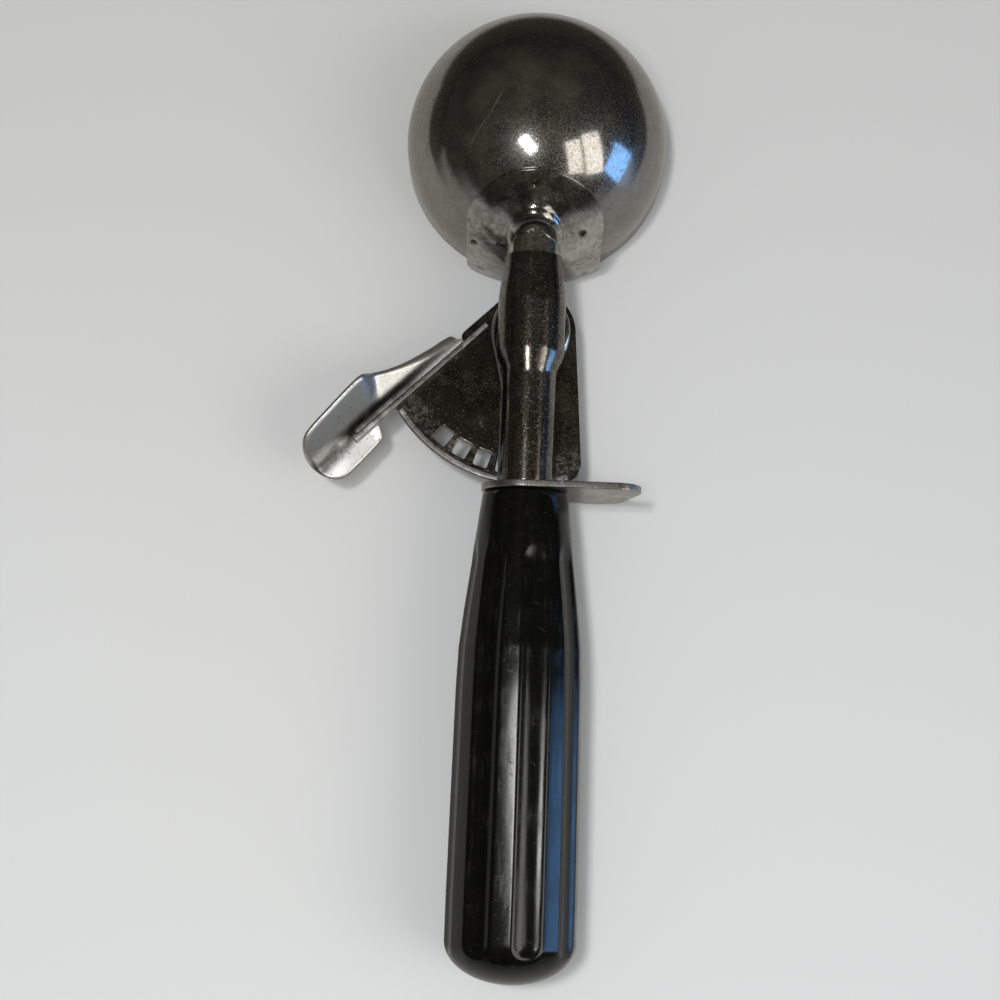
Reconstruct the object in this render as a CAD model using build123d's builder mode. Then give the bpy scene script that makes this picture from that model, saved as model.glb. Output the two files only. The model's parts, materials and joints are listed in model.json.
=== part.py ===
from build123d import *
from math import asin, atan, cos, pi, radians, sin, sqrt, tan
import os

# Lever ice cream scoop, millimetres.
# Origin: centre of the bowl's mouth, in the plane of its rim. +Z points to the dome,
# +Y to the bowl's far lip, -Y along the handle, and the thumb lever lies on -X.

# ---- clearances ----
braze_gap = 0.03        # between pieces that are brazed or pressed together
running_gap = 0.05      # radial, at every turning fit
blade_gap = 0.3         # between the scraper and the inside of the bowl
end_gap = 0.1           # along an axis, where one face turns on another

# ---- bowl and its bracket ----
bowl_r = 29.0           # outside radius of the dome
bowl_wall = 0.9
axis_z = 6.0            # the scraper's axis above the rim, and the centre of the dome
bracket_wall = 1.0
bracket_half_width = 14.2
bracket_corner_r = 3.0
bracket_top_angle = 61.7    # degrees above the rim plane, top of the bracket on the dome
neck_r = 4.8            # tube drawn out of the bracket
neck_wall = 1.0
neck_z = 18.8
neck_depth = 5.4        # how far the tube reaches into the shank
collar_r = 1.6          # flare where the tube leaves the bracket
weld_r = 1.6
weld_depth = 0.25
weld_places = [(-12.4, 14.5), (11.2, 18.5), (0.0, 31.0)]    # X and Z of the weld dimples

# ---- scraper ----
blade_t = 0.8
blade_width = 8.0
shaft_r = 2.0
spigot_r = 1.5          # turned-down ends of the shaft
hub_r = 3.2
blade_hub_length = 2.2
stud_r = 1.5
stud_head_r = 2.6
stud_head_t = 0.8
bush_wall = 0.9
bush_flange = 1.1
bush_flange_t = 0.6

# ---- sector, pinion and lever ----
pivot_y = -44.2
window_pitch = 9.4      # degrees between windows
window_inset = 4.0      # from the sector's edge to the middle of the windows
window_count = 5        # the first one is over the shaft at rest
window_width = 3.2
window_length = 3.6
sector_t = 1.2
sector_r = 33.8
sector_hub_r = 9.9
sector_right_top = 10.0     # right edge, level with the pivot
sector_right_low = 12.3     # right edge, at the foot of the sector
sector_corner_r = 3.6
teeth = 6
tooth_width = 2.0
tooth_length = 2.8
tooth_tip = 0.95        # tip beyond the pitch circle
tooth_root = 1.2        # root inside the pitch circle
tooth_round = 0.6
pinion_pin_r = 0.6

# ---- lever sheet: places are (out from the pivot's line, along the flange) ----
lever_angle = 46.2      # degrees from -Y to the flange, at rest
lever_t = 1.1
sheet_gap = 0.05
band_end = 12.3         # end of the sector's band outside the flange
flange_off = 6.7        # pivot's line to the inner face of the sector's flange
flange_top = 14.0
flange_start = 6.2
flange_end = 44.6
leg_end = 43.4
valley_off = 8.6
pad_rise = 45.0         # degrees, slope of the thumb pad
wing_tip = (11.3, 12.8)
wing_mid = (13.3, 25.5)
pad_corner = (16.4, 34.2)
pad_tip = (14.9, 53.8)
pad_end = (9.4, 55.3)
pad_foot = (4.6, 54.0)
tab_foot = (2.8, 50.5)
tab_top = (3.7, 38.2)
sheet_round = 2.0       # corners of the pad, in plan
sharp_round = 0.3       # the other corners of the sheet
rim_width = 1.6         # bead round the foot of the sector
rim_height = 0.5
window_round = 0.5

# ---- pivot and spring ----
post_r = 2.5
post_head_r = 4.5
post_head_t = 1.3
washer_r = 4.6
washer_t = 0.5
core_r = 7.1
wire_r = 0.5
coil_r = 8.15
coil_turns = 2.8
coil_pitch = 1.05
spring_lift = 0.15      # coil above the sector
spring_side = 0.1       # fixed leg beside the shank's wall
hook_r = 1.0            # bend from the coil down into the sector
hook_reach = 1.5        # from the coil's start to the hook
leg_reach = 3.0         # from the coil's end to the fixed leg's first bend
leg_bend_r = 4.0
leg_slope = 12.8        # from the pivot to where the fixed leg meets the shank's wall
spring_tail = 0.4       # working end below the sector
spring_hole_gap = 0.15  # round the working end, in the sector

# ---- shank ----
shank_wall = 0.7
shank_front = 14.6      # from the pivot to the shank's front end
guard_gap = 0.5         # between the sector's edge and the guard
# (distance from the pivot to the handle, outside radius, crown height, foot of the walls)
shank_steps = [
    (-shank_front, 5.55, 24.4, 15.7),
    (-4.7, 6.6, 24.4, 15.7),
    (5.8, 6.6, 23.5, 15.7),
    (11.0, 5.05, 22.6, 13.2),
    (sector_r + guard_gap, 5.05, 21.2, 13.2),
]

# ---- guard, tang and handle ----
guard_t = 1.5
guard_r = 9.5
# the tongue's corners: x, height and radius
tongue_top = (19.0, 17.6, 5.5)
tongue_foot = (16.6, 6.6, 5.2)
guard_lobe_r = 4.0
tang_r = 3.0
tang_length = 40.0
insert_r = 5.2
insert_length = 30.0
handle_top_r = 9.1
handle_shoulder = 33.5  # from the guard to the end of the taper
handle_shoulder_r = 13.25
handle_r = 13.7
handle_full = 85.0      # from the guard to the full radius
handle_side = 94.0      # from the guard to the domed end
handle_dome = 8.7
flute_count = 8
flute_r = 3.4
flute_depth = 0.75
flute_start = 9.0       # below the guard
flute_fade = 7.0
flute_turn = -13.5      # degrees, turns the ribs towards -X
flute_fade_lift = 0.3   # how far the cutter clears the surface at its ends
shoulder_blend = 90.0

# ---- worked out from the above ----
shank_sections = [(pivot_y - far, *section) for far, *section in shank_steps]
shank_end_y = pivot_y + shank_front
guard_y = shank_sections[-1][0]
inner_r = bowl_r - bowl_wall
blade_r = inner_r - blade_gap
bracket_in = bowl_r + braze_gap
bracket_out = bracket_in + bracket_wall
bush_r = shaft_r + running_gap + bush_wall
rear_bush_r = spigot_r + running_gap + bush_wall
handle_z = handle_r
handle_y = guard_y - guard_t
handle_taper = (handle_shoulder_r - handle_top_r) / handle_shoulder
handle_shoulder_y = handle_y - handle_shoulder
handle_full_y = handle_y - handle_full
handle_dome_y = handle_y - handle_side
handle_end_y = handle_dome_y - handle_dome
foot_z = shank_sections[1][3]

window_r = sector_r - window_inset
window_arc = window_r * radians(window_pitch)
pinion_pitch_r = teeth * window_arc / (2 * pi)
sector_z = axis_z + pinion_pitch_r - sector_t / 2
sector_top = sector_z + sector_t
pinion_tip_r = pinion_pitch_r + tooth_tip
pinion_root_r = pinion_pitch_r - tooth_root
pinion_y = pivot_y - window_r
journal_y = guard_y + bush_flange_t + end_gap
pinion_back_y = journal_y + washer_t + end_gap
pin_y = (pinion_back_y + pinion_y - tooth_length / 2) / 2
shaft_front_y = -(blade_r + braze_gap)
hub_y = -sqrt((blade_r - blade_t) ** 2 - hub_r**2) + blade_hub_length

post_head_z = sector_z - end_gap - post_head_t
washer_z = sector_top + end_gap
core_z = washer_z + washer_t
spring_z = sector_top + wire_r + spring_lift

# The spring's coil ends on -X, and its working end hooks the sector just before its start.
coil_height = coil_turns * coil_pitch
coil_start = 180 - 360 * coil_turns
hook_distance = sqrt(coil_r**2 + hook_reach**2)
hook_turn = radians(coil_start) - atan(hook_reach / coil_r)
hook_x = hook_distance * cos(hook_turn)
hook_y = pivot_y + hook_distance * sin(hook_turn)

# Unit directions in plan: along the flange, away from the pivot, and out from it.
along = (-sin(radians(lever_angle)), -cos(radians(lever_angle)))
outward = (-cos(radians(lever_angle)), sin(radians(lever_angle)))
leg_off = flange_off + lever_t + braze_gap


def lever_plane(height):
    """Plan plane at the pivot: local x points out from the flange, local y along it."""
    return Plane(origin=(0, pivot_y, height), x_dir=(*outward, 0), z_dir=(0, 0, 1))


def lever_section(distance):
    """Plane across the flange, at a distance along it: local x out, local y up."""
    origin = (along[0] * distance, pivot_y + along[1] * distance, 0)
    return Plane(origin=origin, x_dir=(*outward, 0), z_dir=(-along[0], -along[1], 0))


def across(y, height=0.0):
    """Plane across the scoop at y: local x is +X, local y is +Z, and its normal is -Y."""
    return Plane(origin=(0, y, height), x_dir=(1, 0, 0), z_dir=(0, -1, 0))


def at_shaft(y):
    """The same plane, with its origin on the scraper's axis."""
    return across(y, axis_z)


def save(builder, name):
    """Label a finished piece and write it."""
    builder.part.label = name
    export_step(builder.part, f"parts/{name}.step")


os.makedirs("parts", exist_ok=True)


# ======================= bowl =======================
def dome_profile(outer, inner):
    """Half section of a dome with a short skirt, from the rim up."""
    with BuildSketch(Plane.XZ) as profile:
        with BuildLine():
            Line((inner, 0), (outer, 0))
            Line((outer, 0), (outer, axis_z))
            CenterArc((0, axis_z), outer, 0, 90)
            Line((0, axis_z + outer), (0, axis_z + inner))
            CenterArc((0, axis_z), inner, 90, -90)
            Line((inner, axis_z), (inner, 0))
        make_face()
    return profile.sketch


with BuildPart() as bowl:
    add(dome_profile(bowl_r, inner_r))
    revolve(axis=Axis.Z)
    with BuildSketch(at_shaft(0)):
        Circle(bush_r + braze_gap)
    extrude(amount=bracket_out, mode=Mode.SUBTRACT)
    with BuildSketch(at_shaft(0)):
        Circle(stud_r + running_gap)
    extrude(amount=-bracket_out, mode=Mode.SUBTRACT)
save(bowl, "bowl")

# ======================= bracket that carries the bowl =======================
# The sheet covers a round patch of the dome and runs straight down from it to the rim.
patch_angle = asin(bracket_half_width / bracket_out)
patch_lean = radians(bracket_top_angle) - patch_angle
patch_wide_z = axis_z + bracket_out * cos(patch_angle) * sin(patch_lean)
patch_way = (0, -cos(patch_lean), sin(patch_lean))
with BuildPart() as bracket_room:
    with Locations(Plane(origin=(0, 0, axis_z), x_dir=(1, 0, 0), z_dir=patch_way)):
        Cone(
            0,
            2 * bowl_r * tan(patch_angle),
            2 * bowl_r,
            align=(Align.CENTER, Align.CENTER, Align.MIN),
        )
    with BuildSketch(across(0)) as bracket_foot:
        with Locations((0, patch_wide_z / 2)):
            Rectangle(2 * bracket_half_width, patch_wide_z)
        fillet(bracket_foot.vertices().group_by(Axis.Z)[0], bracket_corner_r)
    extrude(amount=2 * bowl_r)

with BuildPart() as saddle_bracket:
    add(dome_profile(bracket_out, bracket_in))
    revolve(axis=Axis.Z)
    add(bracket_room.part, mode=Mode.INTERSECT)
    with BuildSketch(across(-axis_z, neck_z)):
        Circle(neck_r)
    extrude(amount=-axis_z - shank_end_y + neck_depth)
    with Locations((0, 0, axis_z)):
        Sphere(bracket_in, mode=Mode.SUBTRACT)
    on_neck = saddle_bracket.edges().filter_by(GeomType.BSPLINE).filter_by(
        lambda e: abs((e.center() - Vector(0, e.center().Y, neck_z)).length - neck_r) < braze_gap
    )
    fillet(on_neck.sort_by(Axis.Y)[0], collar_r)
    with BuildSketch(across(0, neck_z)):
        Circle(neck_r - neck_wall)
    extrude(amount=2 * bracket_out, mode=Mode.SUBTRACT)
    with BuildSketch(at_shaft(0)):
        Circle(bush_r + braze_gap)
    extrude(amount=2 * bracket_out, mode=Mode.SUBTRACT)
    for weld_x, weld_z in weld_places:
        weld_y = -sqrt(bracket_out**2 - weld_x**2 - (weld_z - axis_z) ** 2)
        lift = (bracket_out + weld_r - weld_depth) / bracket_out
        with Locations((weld_x * lift, weld_y * lift, axis_z + (weld_z - axis_z) * lift)):
            Sphere(weld_r, mode=Mode.SUBTRACT)
save(saddle_bracket, "saddle_bracket")


# ======================= bushes, washers and the guard's bearing =======================
def ring(y, outer, inner, length):
    """Sleeve round the scraper's axis that starts at y and runs towards the handle."""
    with BuildPart() as sleeve:
        with BuildSketch(at_shaft(y)):
            Circle(outer)
            if inner:
                Circle(inner, mode=Mode.SUBTRACT)
        extrude(amount=length)
    return sleeve.part


bush_bore = shaft_r + running_gap
with BuildPart() as bowl_bush:
    add(ring(-inner_r, bush_r, bush_bore, bracket_out + braze_gap - inner_r))
    add(ring(-bracket_out - braze_gap, bush_r + bush_flange, bush_bore, bush_flange_t))
save(bowl_bush, "bowl_bush")

journal_bore = spigot_r + running_gap
with BuildPart() as rear_bush:
    add(ring(guard_y + bush_flange_t, rear_bush_r + bush_flange, journal_bore, bush_flange_t))
    add(ring(guard_y, rear_bush_r, journal_bore, guard_t))
save(rear_bush, "rear_bush")

with BuildPart() as shaft_washer:
    add(ring(journal_y + washer_t, hub_r, bush_bore, washer_t))
save(shaft_washer, "shaft_washer")

# ======================= scraper: shaft, blade, hub and stud =======================
with BuildPart() as scraper_shaft:
    with BuildSketch(at_shaft(shaft_front_y)):
        Circle(shaft_r)
    extrude(amount=shaft_front_y - journal_y)
    with BuildSketch(at_shaft(hub_y)):
        Circle(spigot_r)
    extrude(amount=hub_y - handle_y)
    with BuildSketch(Plane.XY.offset(axis_z)):
        with Locations((0, pin_y)):
            Circle(pinion_pin_r + braze_gap)
    extrude(amount=bush_r, both=True, mode=Mode.SUBTRACT)
save(scraper_shaft, "scraper_shaft")

with BuildPart() as scraper_blade:
    with Locations((0, 0, axis_z)):
        Sphere(blade_r)
        Sphere(blade_r - blade_t, mode=Mode.SUBTRACT)
    with BuildSketch(at_shaft(bowl_r)):
        Circle(blade_width / 2)
        with Locations((-bowl_r / 2, 0)):
            Rectangle(bowl_r, blade_width)
    extrude(amount=2 * bowl_r, mode=Mode.INTERSECT)
    with BuildSketch(at_shaft(bowl_r)):
        Circle(spigot_r + braze_gap)
    extrude(amount=2 * bowl_r, mode=Mode.SUBTRACT)
save(scraper_blade, "scraper_blade")

with BuildPart() as blade_hub:
    add(ring(hub_y, hub_r, spigot_r + braze_gap, blade_hub_length))
save(blade_hub, "blade_hub")

with BuildPart() as tip_stud:
    with BuildSketch(at_shaft(bowl_r + end_gap + stud_head_t)):
        Circle(stud_head_r)
    extrude(amount=stud_head_t)
    fillet(tip_stud.edges().sort_by(Axis.Y)[-1], stud_head_t / 2)
    with BuildSketch(at_shaft(bowl_r + end_gap)):
        Circle(stud_r)
    extrude(amount=bowl_r + end_gap + hub_y)
save(tip_stud, "tip_stud")

with BuildPart() as stud_collar:
    add(ring(-hub_y - blade_hub_length, hub_r, stud_r + braze_gap, -blade_hub_length))
save(stud_collar, "stud_collar")

# ======================= pinion and its pin =======================
with BuildPart() as pinion:
    with BuildSketch(at_shaft(pinion_y + tooth_length / 2)):
        Circle(pinion_root_r)
        with PolarLocations((pinion_tip_r + shaft_r) / 2, teeth, start_angle=90):
            RectangleRounded(pinion_tip_r - shaft_r, tooth_width, tooth_round)
    extrude(amount=tooth_length)
    add(ring(pinion_y, hub_r, 0, pinion_y - pinion_back_y))
    add(ring(pinion_y + tooth_length, shaft_r + braze_gap, 0, 4 * tooth_length), mode=Mode.SUBTRACT)
    with BuildSketch(Plane.XY.offset(axis_z)):
        with Locations((0, pin_y)):
            Circle(pinion_pin_r + braze_gap)
    extrude(amount=bush_r + hub_r, both=True, mode=Mode.SUBTRACT)
save(pinion, "pinion")

with BuildPart() as pinion_pin:
    with BuildSketch(Plane.XY.offset(axis_z)):
        with Locations((0, pin_y)):
            Circle(pinion_pin_r)
    extrude(amount=hub_r, both=True)
save(pinion_pin, "pinion_pin")


# ======================= shank =======================
def channel(inset, foot_drop):
    """Channel through all the shank's sections, drawn inward by inset."""
    with BuildPart() as body:
        for y, radius, crown, foot in shank_sections:
            side = radius - inset
            centre = crown - radius
            with BuildSketch(across(y)):
                with BuildLine():
                    Line((side, foot - foot_drop), (side, centre))
                    CenterArc((0, centre), side, 0, 180)
                    Line((-side, centre), (-side, foot - foot_drop))
                    Line((-side, foot - foot_drop), (side, foot - foot_drop))
                make_face()
        loft(ruled=True)
    return body.part


with BuildPart() as shank:
    add(channel(0, 0))
    add(channel(shank_wall, 0), mode=Mode.SUBTRACT)
save(shank, "shank")


# ======================= pivot: post, washer and spring core =======================
def disc(height, outer, inner, thickness):
    """Washer or pad round the pivot that starts at a height and runs up."""
    with BuildPart() as plate:
        with BuildSketch(Plane.XY.offset(height)):
            with Locations((0, pivot_y)):
                Circle(outer)
                if inner:
                    Circle(inner, mode=Mode.SUBTRACT)
        extrude(amount=thickness)
    return plate.part


with BuildPart() as pivot_post:
    add(disc(post_head_z, post_r, 0, bowl_r))
    add(channel(shank_wall + braze_gap, foot_z - post_head_z), mode=Mode.INTERSECT)
    add(disc(post_head_z, post_head_r, 0, post_head_t))
    fillet(pivot_post.edges().group_by(Axis.Z)[0], post_head_t / 3)
save(pivot_post, "pivot_post")

with BuildPart() as pivot_washer:
    add(disc(washer_z, washer_r, post_r + running_gap, washer_t))
save(pivot_washer, "pivot_washer")

with BuildPart() as spring_core:
    add(disc(core_z, core_r, post_r + braze_gap, foot_z - core_z))
save(spring_core, "spring_core")

# ======================= return spring =======================
# One wire: up through the sector, round the coil to -X, and along the shank to the guard.
pivot_axis = Axis((0, pivot_y, 0), (0, 0, 1))
leg_x = -(shank_sections[-1][1] + wire_r + spring_side)
with BuildPart() as return_spring:
    with BuildLine() as spring_path:
        coil = Helix(coil_pitch, coil_height, coil_r, (0, pivot_y, spring_z), mode=Mode.PRIVATE)
        coil = coil.rotate(pivot_axis, coil_start)
        hook = coil @ 0 - (coil % 0) * hook_reach
        FilletPolyline((hook.X, hook.Y, sector_z - spring_tail), hook, coil @ 0, radius=hook_r)
        add(coil)
        leg_start = coil @ 1
        leg_bend = leg_start + (coil % 1) * leg_reach
        FilletPolyline(
            leg_start,
            leg_bend,
            (leg_x, pivot_y - leg_slope, leg_bend.Z),
            (leg_x, guard_y + blade_gap, leg_bend.Z),
            radius=leg_bend_r,
        )
    wire = spring_path.wires()[0]
    with BuildSketch(Plane(origin=wire @ 0, z_dir=wire % 0)):
        Circle(wire_r)
    sweep(path=wire)
save(return_spring, "return_spring")


# ======================= sector plate =======================
def sector_blank(height, thickness):
    """The sector without its windows, from a height up."""
    with BuildPart() as blank:
        with BuildSketch(Plane.XY.offset(height)) as outline:
            with Locations((0, pivot_y)):
                Circle(sector_r)
            with BuildLine():
                Polyline(
                    (0, pivot_y),
                    (sector_right_top, pivot_y),
                    (sector_right_low, pivot_y - sector_r),
                    (-2 * sector_r, pivot_y - sector_r),
                    (-2 * sector_r, pivot_y),
                    close=True,
                )
            make_face(mode=Mode.INTERSECT)
            fillet(outline.vertices().filter_by(lambda v: v.X > sector_corner_r)
                   .sort_by(Axis.Y)[0], sector_corner_r)
            with Locations((0, pivot_y)):
                Circle(sector_hub_r)
        extrude(amount=thickness)
        with BuildSketch(lever_plane(height)):
            with Locations((flange_off + lever_t + sector_r, 0)):
                Rectangle(2 * sector_r, 4 * sector_r)
        extrude(amount=thickness, mode=Mode.SUBTRACT)
    return blank.part


with BuildPart() as sector_plate:
    add(sector_blank(sector_z, sector_t + rim_height))
    with BuildSketch(Plane.XY.offset(sector_top)):
        with Locations((0, pivot_y)):
            Circle(sector_r - rim_width)
    extrude(amount=rim_height, mode=Mode.SUBTRACT)
    with BuildSketch(lever_plane(sector_z)) as band:
        with Locations((sector_hub_r / 2, band_end / 2)):
            Rectangle(sector_hub_r, band_end)
        fillet(band.vertices().sort_by(Axis.X)[0], sheet_round)
    extrude(amount=sector_t)
    with BuildSketch(Plane.XY.offset(sector_z)):
        with Locations((0, pivot_y)):
            Circle(sector_hub_r)
    extrude(amount=sector_t)
    with BuildSketch(lever_plane(sector_z)):
        with Locations((flange_off + lever_t / 2, (flange_start + tab_top[1]) / 2)):
            Rectangle(lever_t, tab_top[1] - flange_start - 2 * sheet_gap)
    extrude(amount=flange_top - sector_z)
    with BuildSketch(lever_plane(sector_z + lever_t + sheet_gap)):
        with Locations((flange_off + lever_t / 2, (flange_start + flange_end) / 2)):
            Rectangle(lever_t, flange_end - flange_start)
    extrude(amount=flange_top - sector_z - lever_t - sheet_gap)
    with BuildSketch(Plane.XY.offset(sector_z)):
        with Locations((0, pivot_y)):
            Circle(post_r + running_gap)
            with PolarLocations(
                window_r,
                window_count,
                start_angle=270 - (window_count - 1) * window_pitch,
                angular_range=(window_count - 1) * window_pitch,
                endpoint=True,
            ):
                RectangleRounded(window_length, window_width, window_round)
        with Locations((hook_x, hook_y)):
            Circle(wire_r + spring_hole_gap)
    extrude(amount=2 * sector_t, mode=Mode.SUBTRACT)
save(sector_plate, "sector_plate")

# ======================= thumb lever =======================
# A sheet with a flat foot, bent up along the valley into a sloping thumb pad, with a
# leg that is spot-welded to the sector's flange.
rise = radians(pad_rise)
pad_length = (pad_corner[0] - valley_off) / cos(rise) + sector_t
pad_edge = (valley_off + pad_length * cos(rise), sector_z + pad_length * sin(rise))
with BuildPart() as thumb_lever:
    with BuildSketch(lever_section(pad_end[1] + lever_t)):
        with BuildLine():
            Polyline(
                (tab_foot[0] - lever_t, sector_z),
                (valley_off, sector_z),
                pad_edge,
                (pad_edge[0] - lever_t * sin(rise), pad_edge[1] + lever_t * cos(rise)),
                (valley_off - lever_t * tan(rise / 2), sector_z + lever_t),
                (tab_foot[0] - lever_t, sector_z + lever_t),
                close=True,
            )
        make_face()
    extrude(amount=pad_end[1] + lever_t)
    with BuildSketch(lever_plane(sector_z)):
        with BuildLine():
            FilletPolyline(
                (leg_off, wing_tip[1]),
                wing_tip,
                wing_mid,
                pad_corner,
                pad_tip,
                pad_end,
                pad_foot,
                tab_foot,
                tab_top,
                (leg_off, tab_top[1]),
                radius=[sheet_round / 2, sheet_round * 4, sheet_round, sheet_round, sheet_round,
                        sheet_round / 2, sheet_round, sharp_round],
            )
            Line((leg_off, tab_top[1]), (leg_off, wing_tip[1]))
        make_face()
    extrude(amount=bowl_r, mode=Mode.INTERSECT)
    with BuildSketch(lever_plane(sector_z)):
        with Locations((leg_off + lever_t / 2, (wing_tip[1] + leg_end) / 2)):
            Rectangle(lever_t, leg_end - wing_tip[1])
    extrude(amount=flange_top - sector_z)
save(thumb_lever, "thumb_lever")

# ======================= guard =======================
with BuildPart() as guard_plate:
    with BuildSketch(across(guard_y)):
        with Locations((0, handle_z)):
            Circle(guard_r)
        with Locations((0, axis_z)):
            Circle(guard_lobe_r)
        for corner_x, corner_z, corner_r in (tongue_top, tongue_foot):
            with Locations((corner_x, corner_z)):
                Circle(corner_r)
        make_hull()
    extrude(amount=guard_t)
    with BuildSketch(across(guard_y)):
        with Locations((0, handle_z)):
            Circle(tang_r + braze_gap)
        with Locations((0, axis_z)):
            Circle(rear_bush_r + braze_gap)
    extrude(amount=guard_t, mode=Mode.SUBTRACT)
save(guard_plate, "guard_plate")


# ======================= handle with its tang and insert =======================
def rod(y, outer, inner, length):
    """Round bar or sleeve on the handle's axis that starts at y and runs down it."""
    with BuildPart() as bar:
        with BuildSketch(across(y, handle_z)):
            Circle(outer)
            if inner:
                Circle(inner, mode=Mode.SUBTRACT)
        extrude(amount=length)
    return bar.part


with BuildPart() as tang:
    add(rod(guard_y, tang_r, 0, tang_length))
    chamfer(tang.edges().sort_by(Axis.Y)[0], tang_r / 6)
save(tang, "tang")

with BuildPart() as handle_insert:
    add(rod(handle_y - end_gap, insert_r, tang_r + braze_gap, insert_length))
save(handle_insert, "handle_insert")

# (Y, radius of the handle, depth of the flute) down one flute
flute_stations = [
    (handle_y - flute_start, handle_top_r + flute_start * handle_taper, -flute_fade_lift),
    (handle_y - flute_start - flute_fade,
     handle_top_r + (flute_start + flute_fade) * handle_taper, flute_depth),
    (handle_shoulder_y, handle_shoulder_r, flute_depth),
    (handle_full_y, handle_r, flute_depth),
    (handle_dome_y, handle_r, flute_depth),
    (handle_dome_y - flute_fade, handle_r, -flute_fade_lift),
]
with BuildPart() as flute_cutter:
    for y, surface_r, depth in flute_stations:
        with BuildSketch(across(y, handle_z)):
            with Locations((surface_r + flute_r - depth, 0)):
                Circle(flute_r)
    loft(ruled=True)

with BuildPart() as handle:
    with BuildSketch(Plane.XY.offset(handle_z)):
        with BuildLine():
            Line((0, handle_y), (handle_top_r, handle_y))
            FilletPolyline(
                (handle_top_r, handle_y),
                (handle_shoulder_r, handle_shoulder_y),
                (handle_r, handle_full_y),
                (handle_r, handle_dome_y),
                radius=[shoulder_blend, shoulder_blend],
            )
            EllipticalCenterArc((0, handle_dome_y), handle_r, handle_dome, 270, arc_size=90)
            Line((0, handle_end_y), (0, handle_y))
        make_face()
    revolve(axis=Axis((0, 0, handle_z), (0, 1, 0)))
    for flute in range(flute_count):
        turn = (flute + 0.5) * 360 / flute_count + flute_turn
        add(flute_cutter.part.rotate(Axis((0, 0, handle_z), (0, 1, 0)), turn), mode=Mode.SUBTRACT)
    add(rod(handle_y, insert_r + braze_gap, 0, insert_length + 2 * end_gap), mode=Mode.SUBTRACT)
    add(rod(handle_y, tang_r + braze_gap, 0, tang_length), mode=Mode.SUBTRACT)
save(handle, "handle")
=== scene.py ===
# %% [markdown]
# # A lever ice cream scoop
#
# The scoop is a chromed steel dome on a pressed channel, with a thumb lever whose sector
# turns a scraper blade, and a black fluted handle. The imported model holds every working
# piece at its size. This notebook dresses it: each visible sheet gets a finer mesh with
# soft edges, and each finish is built from nodes.
#
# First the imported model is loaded. All lengths below are metres, in its frame: the origin
# is the centre of the bowl's mouth, +Z runs to the dome, and the handle lies along -Y.

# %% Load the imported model
import json
import math

import bpy
from mathutils import Matrix, Vector


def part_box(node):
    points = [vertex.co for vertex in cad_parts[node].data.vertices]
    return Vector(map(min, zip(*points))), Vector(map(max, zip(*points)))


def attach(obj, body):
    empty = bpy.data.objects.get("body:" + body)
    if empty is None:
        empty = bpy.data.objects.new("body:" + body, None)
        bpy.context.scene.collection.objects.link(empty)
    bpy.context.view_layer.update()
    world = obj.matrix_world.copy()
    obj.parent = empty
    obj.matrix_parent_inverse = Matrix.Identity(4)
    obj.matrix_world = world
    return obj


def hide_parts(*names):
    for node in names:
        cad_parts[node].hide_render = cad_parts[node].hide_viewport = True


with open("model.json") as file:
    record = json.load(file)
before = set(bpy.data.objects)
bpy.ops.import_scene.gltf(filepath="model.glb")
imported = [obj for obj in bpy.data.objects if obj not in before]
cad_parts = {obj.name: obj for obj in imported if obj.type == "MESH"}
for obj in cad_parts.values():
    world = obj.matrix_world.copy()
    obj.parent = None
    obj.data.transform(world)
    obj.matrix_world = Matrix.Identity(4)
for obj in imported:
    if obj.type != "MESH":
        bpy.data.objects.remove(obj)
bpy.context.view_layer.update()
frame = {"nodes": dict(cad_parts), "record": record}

MM = 0.001
body_of = {}
for body_name, members in frame["record"]["behaviour"]["bodies"].items():
    for member in members:
        body_of[member] = body_name
slot_of = {row["node"]: row["material_slot"] for row in frame["record"]["subparts"]}


def put(name, data):
    """A new object in the scene, from a mesh, a curve, a lamp or a camera."""
    made = bpy.data.objects.new(name, data)
    bpy.context.scene.collection.objects.link(made)
    return made


print("pieces in the model:", len(slot_of))

# %% [markdown]
# ## Camera
#
# The scoop lies on a pale table and is seen from almost straight above, turned a little.
# A long lens keeps the handle's sides nearly parallel. The camera is placed by numbers
# rather than by hand, so that it never drifts.

# %% Camera
camera_place = Vector((-5.39, -141.87, 416.0)) * MM
camera_tilt = math.radians(8.5)
camera_roll = math.radians(2.1)
focal_length = 68.4
lens = bpy.data.cameras.new("camera")
lens.lens = focal_length
lens.sensor_width = 36.0
lens.clip_start = 0.01
camera = put("camera", lens)
turn = Matrix.Rotation(camera_tilt, 4, "X") @ Matrix.Rotation(camera_roll, 4, "Z")
camera.matrix_world = Matrix.Translation(camera_place) @ turn
bpy.context.scene.camera = camera
print("camera height:", round(camera_place.z, 3))

# %% [markdown]
# ## A small language for shaders
#
# A finish is arithmetic on soft noise, so it reads best as arithmetic. `Link` wraps one
# output of a node. An operator on it adds a Math node, and `node` adds any other kind.

# %% Shader language


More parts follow.
